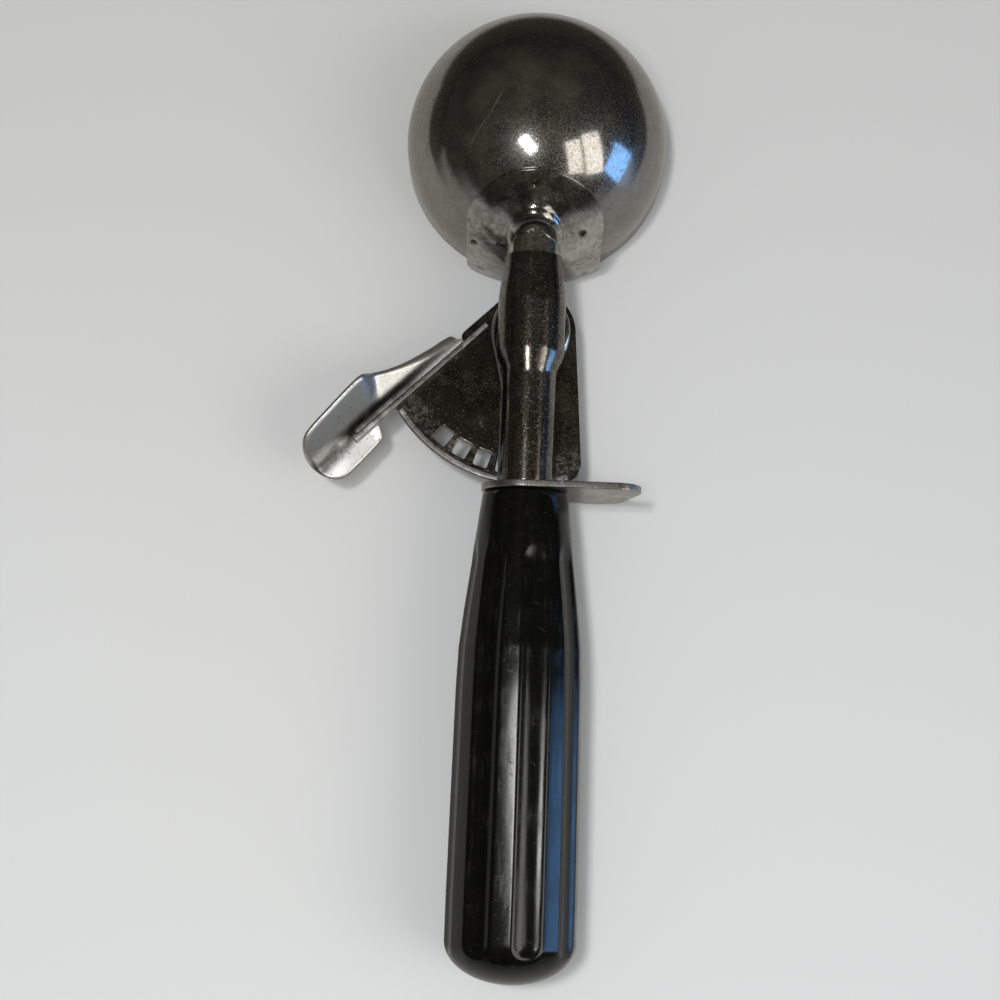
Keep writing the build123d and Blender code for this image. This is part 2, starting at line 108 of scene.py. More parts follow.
class Link:
    """One output of a shader node that Python's operators can work on."""

    def __init__(self, output):
        self.output = output
        self.tree = output.id_data

    def node(self, kind, inputs, output=0, **settings):
        """Another node in this tree: its settings come first, then its inputs."""
        made = self.tree.nodes.new(kind)
        for name, value in settings.items():
            setattr(made, name, value)
        for name, value in inputs.items():
            socket = made.inputs[name]
            if isinstance(value, Link):
                self.tree.links.new(value.output, socket)
            else:
                socket.default_value = value
        return Link(made.outputs[output])

    def math(self, operation, *others):
        values = dict(enumerate((self, *others)))
        return self.node("ShaderNodeMath", values, operation=operation)

    def __add__(self, other):
        return self.math("ADD", other)

    __radd__ = __add__

    def __mul__(self, other):
        return self.math("MULTIPLY", other)

    __rmul__ = __mul__

    def __sub__(self, other):
        return self.math("SUBTRACT", other)

    def __rsub__(self, other):
        return (self * -1.0) + other

    def band(self, low, high):
        """0 below low, 1 above high, and a soft step between them."""
        values = {"Value": self, "From Min": low, "From Max": high}
        return self.node("ShaderNodeMapRange", values, interpolation_type="SMOOTHSTEP")

    def mix(self, first, second):
        """The first colour where this is 0, and the second where it is 1."""
        values = {0: self, 6: first, 7: second}
        return self.node("ShaderNodeMix", values, output=2, data_type="RGBA")

    def spread(self, scale, turn, centre=(0, 0, 0)):
        """This place as a pattern sees it, whose scale and centre are in millimetres."""
        values = {
            "Vector": self,
            "Location": [value * MM for value in centre],
            "Rotation": (0, 0, math.radians(turn)),
            "Scale": [value * MM for value in scale],
        }
        return self.node("ShaderNodeMapping", values, vector_type="TEXTURE")

    def noise(self, size, detail, stretch=(1, 1, 1), turn=0.0):
        """Soft noise with features of about size millimetres, on this place."""
        place = self.spread([size / share for share in stretch], turn)
        values = {"Vector": place, "Scale": 1.0, "Detail": detail}
        return self.node("ShaderNodeTexNoise", values)

    def bump(self, height, strength, distance):
        """A normal whose surface rises by height times distance millimetres."""
        values = {"Height": height, "Strength": strength, "Distance": distance * MM}
        if self.output.name == "Normal":
            values["Normal"] = self
        return self.node("ShaderNodeBump", values)

    def away(self, centre):
        """How far this place is, in metres, from one that is given in millimetres."""
        values = {0: self, 1: [value * MM for value in centre]}
        return self.node("ShaderNodeVectorMath", values, output="Value", operation="DISTANCE")

    def near(self, centre, radius):
        """1 at a place, in millimetres, and 0 beyond a radius."""
        return 1 - self.away(centre).band(0.5 * radius * MM, radius * MM)

    def stroke(self, centre, turn, size):
        """1 on a long thin mark: its centre and size in millimetres, its turn in degrees."""
        place = self.spread(size, turn, centre)
        return 1 - place.away((0, 0, 0)).band(0.6, 1.0)

    def along(self, axis):
        """One coordinate of this place, in metres."""
        return self.node("ShaderNodeSeparateXYZ", {0: self}, output=axis)

    def towards(self, way):
        """How far this place lies along a direction, in metres."""
        values = {0: self, 1: tuple(way)}
        return self.node("ShaderNodeVectorMath", values, output="Value", operation="DOT_PRODUCT")


def new_finish(name):
    """A new material: its shader, and the place on the piece that patterns read."""
    material = bpy.data.materials.new(name)
    material.use_nodes = True
    tree = material.node_tree
    shader = tree.nodes["Principled BSDF"]
    place = Link(tree.nodes.new("ShaderNodeTexCoord").outputs["Object"])
    return material, shader, place


def feed(shader, **links):
    """Joins links to the shader's sockets, named as they are with _ for a space."""
    for name, link in links.items():
        link.tree.links.new(link.output, shader.inputs[name.replace("_", " ")])


def grey(level, warmth=0.0):
    """A grey colour, a little warm or cold."""
    return (level * (1 + warmth), level, level * (1 - warmth), 1.0)


# %% [markdown]
# ## Worn chrome
#
# Old plating is never one grey. It has cloudy stains, tiny dark pits, a fine grain where
# cloths have rubbed it, and scratches. The sheet under it is never quite flat, so what it
# mirrors bends. Each kind of mark is soft noise, and a band turns it into places that have
# the mark and places that don't. One function makes them all, and each sheet gets its own
# shares. The sheen is so fine that it is never seen as dots: it only makes a glow round
# each highlight.

# %% Worn steel
# Sizes of the marks, in millimetres
cloud_size = 7.0
blotch_size = 1.3
pit_size = 0.6
pit_patch_size = 5.0
grain_size = 0.35
sheen_size = 0.10
scratch_size = 0.6
hair_size = 0.5
wave_size = 6.0
# A scratch is this thin for its length
thin = 0.05
pit_colour = grey(0.03, 0.12)
# The next colour darkens both dirt and painted shade, and the last one lightens both wear and
# painted highlights.
dirt_and_shade_colour = grey(0.035, 0.15)
line_colour = grey(0.55)
rubbed_and_highlight_colour = grey(0.60, 0.02)


def worn_steel(
    name, bright, stain, rough, pits, clouds, scratches, hazy, dirt_and_shade=None, rub_and_highlight=None
):
    """Chromed steel; the last two arguments are functions from a place to a mask: one for dirt
    and painted shade, one for wear and painted highlights.
    """
    material, shader, place = new_finish(name)
    shader.inputs["Metallic"].default_value = 1.0
    cloud = place.noise(cloud_size, 4.0).band(0.38, 0.62)
    blotch = place.noise(blotch_size, 5.0).band(0.40, 0.62)
    pit = place.noise(pit_size, 2.0).band(0.62, 0.70)
    pit = pit * place.noise(pit_patch_size, 3.0).band(0.35, 0.60)
    grain = place.noise(grain_size, 3.0)
    uneven = grain.band(0.42, 0.60) * 0.7 + 0.3
    sheen = place.noise(sheen_size, 1.0).band(0.50, 0.60) * uneven
    speck = place.noise(grain_size, 2.0).band(0.58, 0.72)
    scratch = place.noise(scratch_size, 2.0, (1.0, thin, 1.0), 24.0).band(0.68, 0.72)
    hair = place.noise(hair_size, 2.0, (thin, 1.0, 1.0), -18.0).band(0.68, 0.72)
    lines = (scratch + hair * 0.5) * scratches
    stained = (cloud * 0.5 + blotch * 0.5) * clouds
    colour = stained.mix(bright, stain)
    colour = (pit * pits).mix(colour, pit_colour)
    colour = (lines * 0.3 + speck * pits * 0.35).mix(colour, line_colour)
    dull = stained * 0.05 + pit * 0.15 + lines * 0.20 + speck * 0.12 + sheen * hazy + rough
    # Wear and painted highlights: lighter and duller where this mask is 1.
    if rub_and_highlight:
        rubbed_and_lit = rub_and_highlight(place)
        colour = rubbed_and_lit.mix(colour, rubbed_and_highlight_colour)
        dull = dull + rubbed_and_lit * 0.22
    # Dirt and painted shade: darker where this mask is 1.
    if dirt_and_shade:
        colour = dirt_and_shade(place).mix(colour, dirt_and_shade_colour)
    wave = place.noise(wave_size, 1.0)
    normal = place.bump(wave, 1.0, 0.04)
    normal = normal.bump(grain + lines * 0.4 - pit * 0.8, 0.5, 0.014)
    feed(shader, Base_Color=colour, Roughness=dull, Normal=normal)
    return material


# %% [markdown]
# ## Marks that have a place
#
# Some marks aren't everywhere. Dirt stays in the spot welds, painted shade darkens the
# bracket's upper part, one long scratch runs over the dome, and a painted highlight is meant
# for the saddle's thin edge. Each is a function from a place to a mask, so that the steel
# above can use it. Places are in millimetres.

# %% Marks with a place


def weld_dirt_and_shade(place):
    """Dirt in the spot welds and the saddle's corners, painted shade up top, and the neck tube
    darker.
    """
    spots = (
        ((-0.7, -16.6, 31.0), 1.6),
        ((-12.6, -25.1, 16.5), 1.6),
        ((9.9, -23.8, 21.4), 1.7),
        ((-11.3, -27.8, 6.3), 1.9),
        ((11.2, -27.9, 5.4), 1.9),
    )
    masks = [place.near(spot, reach) for spot, reach in spots]
    # Painted shade: the upper part goes darker in patches, by height.
    upper = place.along("Z").band(24.5 * MM, 27.5 * MM) * place.noise(4.0, 3.0).band(0.30, 0.55)
    tube = 1 - place.along("Y").band(-31.5 * MM, -28.5 * MM)
    masks = (sum(masks[1:], masks[0]) * 0.9).math("MAXIMUM", upper * 0.7)
    return masks.math("MAXIMUM", tube * 0.45)


def long_scratch(place):
    """One long scratch that wanders over the dome, in two strokes."""
    bend = place.noise(4.0, 2.0) - 0.5
    sway = place.node("ShaderNodeCombineXYZ", {"X": bend * 0.0012, "Y": 0.0, "Z": 0.0})
    moved = place.node("ShaderNodeVectorMath", {0: place, 1: sway}, operation="ADD")
    upper = moved.stroke((-9.2, -0.3, 33.2), 62.0, (4.2, 0.22, 5.0))
    lower = moved.stroke((-13.0, -6.2, 31.0), 58.0, (4.4, 0.16, 5.0))
    return (upper + lower) * 0.7


def painted_edge_highlight(place):
    """A painted highlight nearer than 29.9 mm to the dome's centre: meant for the saddle's edge,
    it reaches only the welds.
    """
    dome_centre_mm = (0, 0, 6.0)
    # Painted highlight: lighter where this mask is 1.
    return 1 - place.away(dome_centre_mm).band(29.80 * MM, 29.98 * MM)


# %% Steel finishes
# For each: bright and stained colour, roughness, shares of pits, clouds, scratches and haze,
# then its dirt and painted shade, and its wear and painted highlights.
steels = {
    "bowl_steel": (
        grey(0.31, 0.04), grey(0.20, 0.09), 0.045, 0.5, 0.6, 0.5, 0.44, None, long_scratch
    ),
    "bracket_steel": (
        grey(0.56, 0.03), grey(0.22, 0.12), 0.07, 0.9, 0.8, 0.5, 0.30, weld_dirt_and_shade, painted_edge_highlight
    ),
    "shank_steel": (grey(0.19, 0.06), grey(0.07, 0.18), 0.09, 1.1, 0.9, 0.5, 0.20),
    "guard_steel": (grey(0.46, 0.04), grey(0.26, 0.05), 0.24, 0.8, 0.9, 0.5, 0.12),
    "blade_steel": (grey(0.46), grey(0.36, 0.02), 0.20, 0.3, 0.5, 0.6, 0.15),
    "shaft_steel": (grey(0.44), grey(0.30, 0.03), 0.20, 0.4, 0.6, 0.4, 0.15),
    "pinion_steel": (grey(0.38), grey(0.24, 0.05), 0.26, 0.5, 0.8, 0.4, 0.15),
    "pivot_steel": (grey(0.40), grey(0.26, 0.04), 0.20, 0.5, 0.7, 0.4, 0.15),
    "spring_steel": (grey(0.58), grey(0.38), 0.14, 0.3, 0.5, 0.2, 0.10),
}
finishes = {name: worn_steel(name, *shares) for name, shares in steels.items()}
print("steels:", len(finishes))

# %% [markdown]
# ## Brass and the black handle
#
# The bushes are plain turned brass, with fine rings from the lathe. The handle is cast
# black plastic, polished on a wheel and then used for years: it still mirrors the room,
# but fine scratches run across it and dust sits in them.

# %% Brass


def turned_brass():
    material, shader, place = new_finish("bush_brass")
    shader.inputs["Metallic"].default_value = 1.0
    tarnish = place.noise(1.2, 4.0).band(0.40, 0.62)
    rings = place.noise(0.4, 1.0, (0.1, 1.0, 0.1))
    colour = tarnish.mix((0.62, 0.45, 0.20, 1.0), (0.34, 0.22, 0.10, 1.0))
    feed(
        shader,
        Base_Color=colour,
        Roughness=tarnish * 0.15 + 0.28,
        Normal=place.bump(rings, 0.4, 0.02),
    )
    return material


finishes["bush_brass"] = turned_brass()
print("brass:", finishes["bush_brass"].name)

# %% Black handle


def polished_black():
    material, shader, place = new_finish("handle_black")
    shader.inputs["Specular IOR Level"].default_value = 0.45
    scuff = place.noise(0.4, 2.0, (1.0, 0.04, 1.0), 62.0).band(0.69, 0.73)
    hair = place.noise(0.4, 2.0, (0.05, 1.0, 1.0), 12.0).band(0.68, 0.73)
    worn = place.noise(8.0, 4.0).band(0.45, 0.62)
    streak = place.noise(0.7, 2.0, (1.0, 0.12, 1.0)).band(0.50, 0.72)
    grain = place.noise(0.4, 2.0)
    lines = scuff * 0.6 + hair * 0.4
    colour = (lines * 0.08 + streak * worn * 0.02).mix(grey(0.001), grey(0.20, 0.03))
    dull = worn * 0.06 + lines * 0.20 + streak * 0.08 + grain * 0.12 + 0.09
    wave = place.noise(3.0, 1.0, (1.0, 0.25, 1.0))
    normal = place.bump(wave, 1.0, 0.012)
    feed(
        shader,
        Base_Color=colour,
        Roughness=dull,
        Normal=normal.bump(grain + lines, 0.4, 0.006),
    )
    return material


finishes["handle_black"] = polished_black()
print("finishes:", len(finishes))

# %% [markdown]
# ## Helpers for pieces
#
# Every new piece stands for a node of the model: it rides on the same body, takes the same
# finish, and hides the plain one. `dress` says all of that in one call.

# %% Dress a piece


def only(piece):
    """Selects one object and nothing else."""
    bpy.ops.object.select_all(action="DESELECT")
    piece.select_set(True)
    bpy.context.view_layer.objects.active = piece


def edit_merged():
    """Edit mode on the active mesh, with all of it selected and its doubles merged."""
    bpy.ops.object.mode_set(mode="EDIT")
    bpy.ops.mesh.select_all(action="SELECT")
    bpy.ops.mesh.remove_doubles(threshold=1e-6)


def finish_modifier(piece, kind, **settings):
    """Adds a modifier, sets it, and applies it at once."""
    only(piece)
    modifier = piece.modifiers.new(kind.lower(), kind)
    for name, value in settings.items():
        setattr(modifier, name, value)
    bpy.ops.object.modifier_apply(modifier=modifier.name)


def dress(piece, node, smooth=35.0):
    """Makes a finished piece stand for a node of the model."""
    only(piece)
    bpy.ops.object.shade_smooth_by_angle(angle=math.radians(smooth))
    finish_modifier(piece, "WEIGHTED_NORMAL", keep_sharp=True, weight=80)
    piece.data.materials.clear()
    piece.data.materials.append(finishes[slot_of[node]])
    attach(piece, body_of[node])
    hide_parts(node)
    print(piece.name, "has", len(piece.data.polygons), "faces")


# %% [markdown]
# ## A wall for a sheet
#
# Pressed parts are all one thickness. Only one face is modelled, and the Solidify modifier
# adds the wall behind it. A small bevel follows, because a real edge is never knife sharp.

# %% Thicken a sheet


def ease_edges(piece, width, segments, sharp):
    """Bevels the edges where faces meet at more than sharp degrees."""
    limit = {"limit_method": "ANGLE", "angle_limit": math.radians(sharp)}
    finish_modifier(piece, "BEVEL", width=width, segments=segments, **limit)


def thicken(piece, wall, round_edges, segments=3):
    """Gives a surface a wall behind its faces, and eases the edges of the wall."""
    finish_modifier(piece, "SOLIDIFY", thickness=wall, offset=-1.0, use_even_offset=True)
    ease_edges(piece, round_edges, segments, 50)


# %% [markdown]
# ## Sheets that follow a formula
#
# The bracket, the channel and the fluted handle are smooth surfaces with a simple rule.
# Pushing points by hand would never give a clean mirror, so a grid primitive is added and
# each of its points is moved to where the rule says. A seam, where the grid meets itself,
# is merged, and flip turns the faces round. The faces of the bracket, the channel and the
# blade point inwards, which is a fault: their walls lie outside the rule's surface, where
# they should lie inside it. The handle's faces point inwards too.

# %% Formed grid


def formed_grid(name, columns, rows, place, flip=False):
    """A grid whose points go where place(u, v) says, with u and v from 0 to 1."""
    bpy.ops.object.select_all(action="DESELECT")
    bpy.ops.mesh.primitive_grid_add(x_subdivisions=columns, y_subdivisions=rows, size=1.0)
    piece = bpy.context.object
    piece.name = name
    for vertex in piece.data.vertices:
        u = min(max(vertex.co.x + 0.5, 0.0), 1.0)
        v = min(max(vertex.co.y + 0.5, 0.0), 1.0)
        vertex.co = place(u, v)
    edit_merged()
    if flip:
        bpy.ops.mesh.flip_normals()
    bpy.ops.object.mode_set(mode="OBJECT")
    return piece


def soft_step(value):
    """0 to 1 with flat ends."""
    value = min(max(value, 0.0), 1.0)
    return value * value * (3 - 2 * value)


# %% [markdown]
# ## Bowl
#
# The bowl is spun from sheet: a half ball with a short straight skirt. A ball with its
# lower half cut away is the shortest road to it. The cut edge is extruded down to the
# rim, the shell gets its wall, and the rim is eased.

# %% Bowl
bowl_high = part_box("bowl")[1]
bowl_radius = bowl_high.x
axis_height = bowl_high.z - bowl_radius
bowl_wall = 0.9 * MM
rim_round = 0.3 * MM

bpy.ops.object.select_all(action="DESELECT")
bpy.ops.mesh.primitive_uv_sphere_add(
    segments=160, ring_count=96, radius=bowl_radius, location=(0, 0, axis_height)
)
bowl = bpy.context.object
bowl.name = "bowl_shell"
bpy.ops.object.transform_apply(location=True, rotation=True, scale=True)
bpy.ops.object.mode_set(mode="EDIT")
bpy.ops.mesh.select_all(action="SELECT")
bpy.ops.mesh.bisect(plane_co=(0, 0, axis_height), plane_no=(0, 0, 1), clear_inner=True)
bpy.ops.mesh.extrude_edges_move(TRANSFORM_OT_translate={"value": (0, 0, -axis_height)})
bpy.ops.object.mode_set(mode="OBJECT")
thicken(bowl, bowl_wall, rim_round)
dress(bowl, "bowl")

# %% [markdown]
# ## Bracket
#
# A pressed saddle hugs the dome and its middle is drawn out into a neck. Its outline is a
# plain strip below, with two round corners, and a round end above. First comes the outline:
# from the neck's axis, how far the saddle goes in each direction.

# %% Bracket outline
dome_centre = Vector((0, 0, axis_height))
saddle_radius = 30.03 * MM
saddle_wall = 1.0 * MM
saddle_half = 14.2 * MM
saddle_corner = 3.0 * MM
saddle_top = math.radians(61.7)
neck_radius = 4.8 * MM
neck_height = 18.8 * MM
patch_angle = math.asin(saddle_half / saddle_radius)
patch_lean = saddle_top - patch_angle
patch_way = Vector((0, -math.cos(patch_lean), math.sin(patch_lean)))
patch_wide = axis_height + saddle_radius * math.cos(patch_angle) * math.sin(patch_lean)


def on_dome(x, z):
    """How far back the saddle's surface lies at x and z."""
    return -math.sqrt(max(saddle_radius**2 - x**2 - (z - axis_height) ** 2, 0.0))


def in_saddle(x, z):
    """Whether the saddle covers the dome at x and z."""
    if abs(x) > saddle_half or z < 0:
        return False
    if x * x + (z - axis_height) ** 2 >= saddle_radius**2:
        return False
    if z > patch_wide:
        from_centre = Vector((x, on_dome(x, z), z)) - dome_centre
        return from_centre.angle(patch_way) <= patch_angle
    corner_x = abs(x) - (saddle_half - saddle_corner)
    corner_z = saddle_corner - z
    if corner_x > 0 and corner_z > 0:
        return math.hypot(corner_x, corner_z) <= saddle_corner
    return True


def saddle_reach(turn):
    """How far the saddle goes from the neck's axis, in one direction."""
    short, long = neck_radius, 2 * saddle_radius
    for _ in range(30):
        middle = (short + long) / 2
        if in_saddle(middle * math.cos(turn), neck_height + middle * math.sin(turn)):
            short = middle
        else:
            long = middle
    return short


bracket_columns = 176
reaches = [saddle_reach(2 * math.pi * k / bracket_columns) for k in range(bracket_columns)]
print("saddle's reach, mm:", round(min(reaches) / MM, 1), "to", round(max(reaches) / MM, 1))

# %% [markdown]
# ## Bracket sheet
#
# Seen along the neck, the sheet is a set of rings: a tube, a boss that stands out above the
# neck, a flare, and then the dome out to the outline. Half of the rows go to the tube and
# the flare. Three spot welds leave small dimples.

# %% Bracket sheet
bracket_rows = 96
form_share = 0.5
neck_end = -35.0 * MM
boss_rise = 4.6 * MM
boss_length = 3.0 * MM
settle_length = 3.4 * MM
weld_places = ((-12.6, 16.5), (9.9, 21.4), (-0.7, 31.0))
weld_radius = 1.5 * MM
weld_depth = 0.40 * MM
bracket_round = 0.22 * MM


def rounded_path(corners, rounds, share):
    """A point on a path through corners, each rounded over a length on both sides."""
    ends = [corners[0]]
    for before, corner, after, round_off in zip(corners, corners[1:], corners[2:], rounds):
        for other in (before, after):
            away = other - corner
            ends.append(corner + away * min(round_off / max(away.length, 1e-9), 0.5))
    ends.append(corners[-1])
    pieces = len(ends) - 1
    index = min(int(share * pieces), pieces - 1)
    part = share * pieces - index
    first, second = ends[index], ends[index + 1]
    if index % 2 == 0:
        return first.lerp(second, part)
    corner = corners[(index + 1) // 2]
    return first.lerp(corner, part).lerp(corner.lerp(second, part), part)


def bracket_place(u, v):
    column = round(u * bracket_columns) % bracket_columns
    turn = 2 * math.pi * column / bracket_columns
    way = Vector((math.cos(turn), math.sin(turn)))

    def dome_at_reach(out):
        return Vector((out, on_dome(way.x * out, neck_height + way.y * out)))

    lift = max(way.y, 0.0) ** 2
    boss = neck_radius + boss_rise * lift
    join = dome_at_reach(boss)
    settle = dome_at_reach(boss + settle_length)
    if v < form_share:
        corners = [
            Vector((neck_radius, neck_end)),
            Vector((neck_radius, join.y - boss_length * lift - 0.6 * MM)),
            Vector((boss - 0.3 * MM * lift, join.y - boss_length * lift)),
            join,
            settle,
        ]
        rounds = (0.4 * MM, 1.5 * MM, 2.6 * MM)
        spot = rounded_path(corners, rounds, v / form_share)
    else:
        share = (v - form_share) / (1 - form_share)
        spot = dome_at_reach(settle.x + (reaches[column] - settle.x) * share)
    point = Vector((spot.x * way.x, spot.y, neck_height + spot.x * way.y))
    inward = (dome_centre - point).normalized()
    for weld_x, weld_z in weld_places:
        weld = Vector((weld_x * MM, on_dome(weld_x * MM, weld_z * MM), weld_z * MM))
        near = 1 - (point - weld).length / weld_radius
        point += inward * weld_depth * soft_step(near)
    return point


bracket = formed_grid("bracket_sheet", bracket_columns, bracket_rows, bracket_place)
thicken(bracket, saddle_wall, bracket_round)
# The wall would go 0.2 mm below the bowl's rim, so it is held at the rim's level.
for vertex in bracket.data.vertices:
    vertex.co.z = max(vertex.co.z, 0.0)
dress(bracket, "saddle_bracket", 50)

# %% [markdown]
# ## Shank
#
# The shank is a channel pressed over a former: round on top with straight walls. It is
# wide where it covers the spring, and then necks in towards the guard. Its section is a
# wall, a half circle and a wall, and each row of the grid is one section.

# %% Shank
shank_low, shank_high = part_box("shank")
guard_face = shank_low.y
shank_wall = 0.7 * MM
shank_round = 0.15 * MM
wall_share = 0.16
# (distance along Y from the guard's face, radius, crown height, foot of the walls)
shank_sections = (
    (0.0, 5.05, 21.2, 13.2),
    (23.3, 5.05, 22.6, 13.2),
    (28.5, 6.6, 23.5, 15.7),
    (39.0, 6.6, 24.4, 15.7),
    (48.9, 5.55, 24.4, 15.7),
)


def shank_section(far):
    """Radius, crown and foot of the channel, far millimetres from the guard."""
    pairs = zip(shank_sections, shank_sections[1:])
    for first, second in pairs:
        if far <= second[0]:
            break
    share = (far - first[0]) / (second[0] - first[0])
    bend = soft_step(share)
    radius = first[1] + (second[1] - first[1]) * bend
    crown = first[2] + (second[2] - first[2]) * share
    foot = first[3] + (second[3] - first[3]) * bend
    return radius * MM, crown * MM, foot * MM


def shank_place(u, v):
    far = v * (shank_high.y - shank_low.y)
    radius, crown, foot = shank_section(min(far / MM, shank_sections[-1][0]))
    y = guard_face + far
    side = crown - radius
    if u < wall_share:
        return Vector((-radius, y, foot + (side - foot) * u / wall_share))
    if u > 1 - wall_share:
        return Vector((radius, y, foot + (side - foot) * (1 - u) / wall_share))
    turn = math.pi * (1 - (u - wall_share) / (1 - 2 * wall_share))
    return Vector((radius * math.cos(turn), y, side + radius * math.sin(turn)))


shank = formed_grid("shank_channel", 60, 120, shank_place, flip=True)
thicken(shank, shank_wall, shank_round)
dress(shank, "shank")

# %% [markdown]
# ## Handle
#
# The handle is a cone from the guard to its shoulder, swells a little to full size and
# ends in a dome. This first part is the plain handle, before its flutes: one radius for
# each distance from the guard.

# %% Plain handle
handle_low, handle_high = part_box("handle")
handle_top = handle_high.y
handle_axis = (handle_high.z + handle_low.z) / 2
top_radius = 9.1 * MM
shoulder_radius = 13.25 * MM
full_radius = (handle_high.x - handle_low.x) / 2
shoulder_at = 33.5 * MM
full_at = 85.0 * MM
dome_at = 94.0 * MM
dome_length = handle_top - handle_low.y - dome_at
shoulder_blend = 0.45 * MM


def handle_radius(far):
    """Radius of the plain handle, far below the guard."""
    if far > dome_at:
        share = min((far - dome_at) / dome_length, 1.0)
        return full_radius * math.sqrt(1 - share * share)
    taper = (shoulder_radius - top_radius) / shoulder_at
    swell = (full_radius - shoulder_radius) / (full_at - shoulder_at)
    cone = top_radius + taper * far
    body = shoulder_radius + swell * (far - shoulder_at)
    gap = cone - body
    lower = body if gap > 0 else cone
    soft = shoulder_blend * math.exp(-((gap / shoulder_blend) ** 2) / 2) * 0.4
    return min(lower - soft, full_radius)


print("radius half way, mm:", round(handle_radius(dome_at / 2) / MM, 2))

# %% [markdown]
# ## Flutes
#
# Eight wide flutes were cut by a round cutter, and between them stand broad ribs that
# hands have rubbed flat. The cutter lifts out at both ends, so the flutes fade there. Each
# point of the grid takes the smaller of two radii, the handle's own and the cutter's, with
# the corner between them rubbed round.

# %% Flutes
flute_count = 8
flute_radius = 7.0 * MM
flute_depth = 0.95 * MM
flute_start = 9.0 * MM
flute_fade = 7.0 * MM
flute_lift = 0.3 * MM
flute_turn = math.radians(13.5)
rib_round = 0.16 * MM
rib_flat = 0.11 * MM
rib_half = math.radians(9.0)


def flute_share(far):
    """0 where the flutes fade out at the handle's ends, and 1 between."""
    fade_in = soft_step((far - flute_start) / flute_fade)
    fade_out = 1 - soft_step((far - dome_at) / flute_fade)
    return fade_in * fade_out


def from_flute(turn):
    """Angle from the middle of the nearest flute."""
    spacing = 2 * math.pi / flute_count
    return (turn - flute_turn + spacing / 2) % spacing - spacing / 2


def flute_bottom(turn, far):
    """Radius that the cutter leaves, or a large one where it doesn't reach."""
    off = from_flute(turn)
    share = flute_share(far)
    depth = flute_depth * share - flute_lift * (1 - share)
    surface = handle_radius(min(far, dome_at))
    centre = surface + flute_radius - depth
    room = flute_radius**2 - (centre * math.sin(off)) ** 2
    if room <= 0:
        return 2 * full_radius
    return centre * math.cos(off) - math.sqrt(room)


def rib_drop(turn, far):
    """How much the middle of a rib is rubbed flat."""
    off = math.pi / flute_count - abs(from_flute(turn))
    return rib_flat * flute_share(far) * max(1 - (off / rib_half) ** 2, 0.0)


# %% Handle grid
grip_columns = 288
grip_rows = 150
face_share = 0.06
body_share = 0.86
bore_radius = 3.05 * MM
end_round = 0.5 * MM


def handle_place(u, v):
    turn = 2 * math.pi * u
    if v < face_share:
        share = v / face_share
        radius = bore_radius + (top_radius - end_round - bore_radius) * share
        far = 0.0
    else:
        share = (v - face_share) / (1 - face_share)
        if share < body_share:
            far = dome_at * share / body_share
        else:
            swing = math.radians(90) * (share - body_share) / (1 - body_share)
            far = dome_at + dome_length * math.sin(swing)
        plain = handle_radius(far) - rib_drop(turn, far)
        if far < end_round:
            plain -= end_round - math.sqrt(end_round**2 - (end_round - far) ** 2)
        cut = flute_bottom(turn, far)
        gap = abs(plain - cut)
        radius = min(plain, cut) - rib_round * max(1 - gap / (3 * rib_round), 0.0) ** 2 * 0.5
        if far >= dome_at + dome_length - 1e-7:
            radius = 0.0
    x = radius * math.sin(turn)
    z = handle_axis + radius * math.cos(turn)
    return Vector((x, handle_top - far, z))


grip = formed_grid("fluted_grip", grip_columns, grip_rows, handle_place)
dress(grip, "handle", 60)

# %% [markdown]
# ## Spring
#
# The return spring is one piece of wire: a hook in the sector, a few turns round the
# pivot and a straight leg beside the shank's wall. Its turns lie loosely on each other, so
# from above more than one shows. A curve with a round section is the natural way to model
# wire, and it is made a mesh at the end.

# %% Spring
pivot_y = -44.2 * MM
wire_radius = 0.5 * MM
coil_radius = 8.1 * MM
coil_turns = 2.8
coil_points = 90
coil_loose = 0.14 * MM
coil_waist = 0.22 * MM
spring_low, spring_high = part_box("return_spring")
coil_bottom = spring_low.z + 2.3 * MM
coil_top = spring_high.z - wire_radius
coil_start = math.radians(180 - 360 * coil_turns)


def coil_point(share):
    turn = coil_start + 2 * math.pi * coil_turns * share
    loose = coil_loose * math.sin(2.1 * math.pi * share * coil_turns)
    radius = coil_radius - coil_waist * math.sin(math.pi * share) + loose * 0.6
    z = coil_bottom + (coil_top - coil_bottom) * share
    return (radius * math.cos(turn), pivot_y + radius * math.sin(turn), z)


hook = Vector((-3.94, -51.49, 0)) * MM
leg_x = -5.65 * MM
wire_points = [(hook.x, hook.y, spring_low.z), (hook.x, hook.y, coil_bottom - 0.8 * MM)]
wire_points.append((hook.x, hook.y, coil_bottom - 0.1 * MM))
wire_points += [coil_point(k / coil_points) for k in range(coil_points + 1)]
wire_points += [
    (-8.1 * MM, -46.5 * MM, coil_top),
    (-7.6 * MM, -49.0 * MM, coil_top),
    (-6.2 * MM, -54.5 * MM, coil_top),
    (leg_x, -57.5 * MM, coil_top),
    (leg_x, -62.0 * MM, coil_top),
    (leg_x, spring_low.y, coil_top),
]
curve = bpy.data.curves.new("spring_wire", "CURVE")
curve.dimensions = "3D"
spline = curve.splines.new("NURBS")
spline.points.add(len(wire_points) - 1)
for point, place in zip(spline.points, wire_points):
    point.co = (*place, 1.0)
spline.order_u = 3
spline.use_endpoint_u = True
spline.resolution_u = 3
curve.bevel_depth = wire_radius
curve.bevel_resolution = 4
curve.use_fill_caps = True
spring = put("spring_wire", curve)
only(spring)
bpy.ops.object.convert(target="MESH")
dress(bpy.context.object, "return_spring", 60)

# %% [markdown]
# ## Scraper blade
#
# The blade is a strip of spring steel that follows the inside of the bowl from the hub to
# the stud, and it is what pushes the ice cream out. The strip lies on a ball: the grid runs
# along it and across it, and its ends are round.

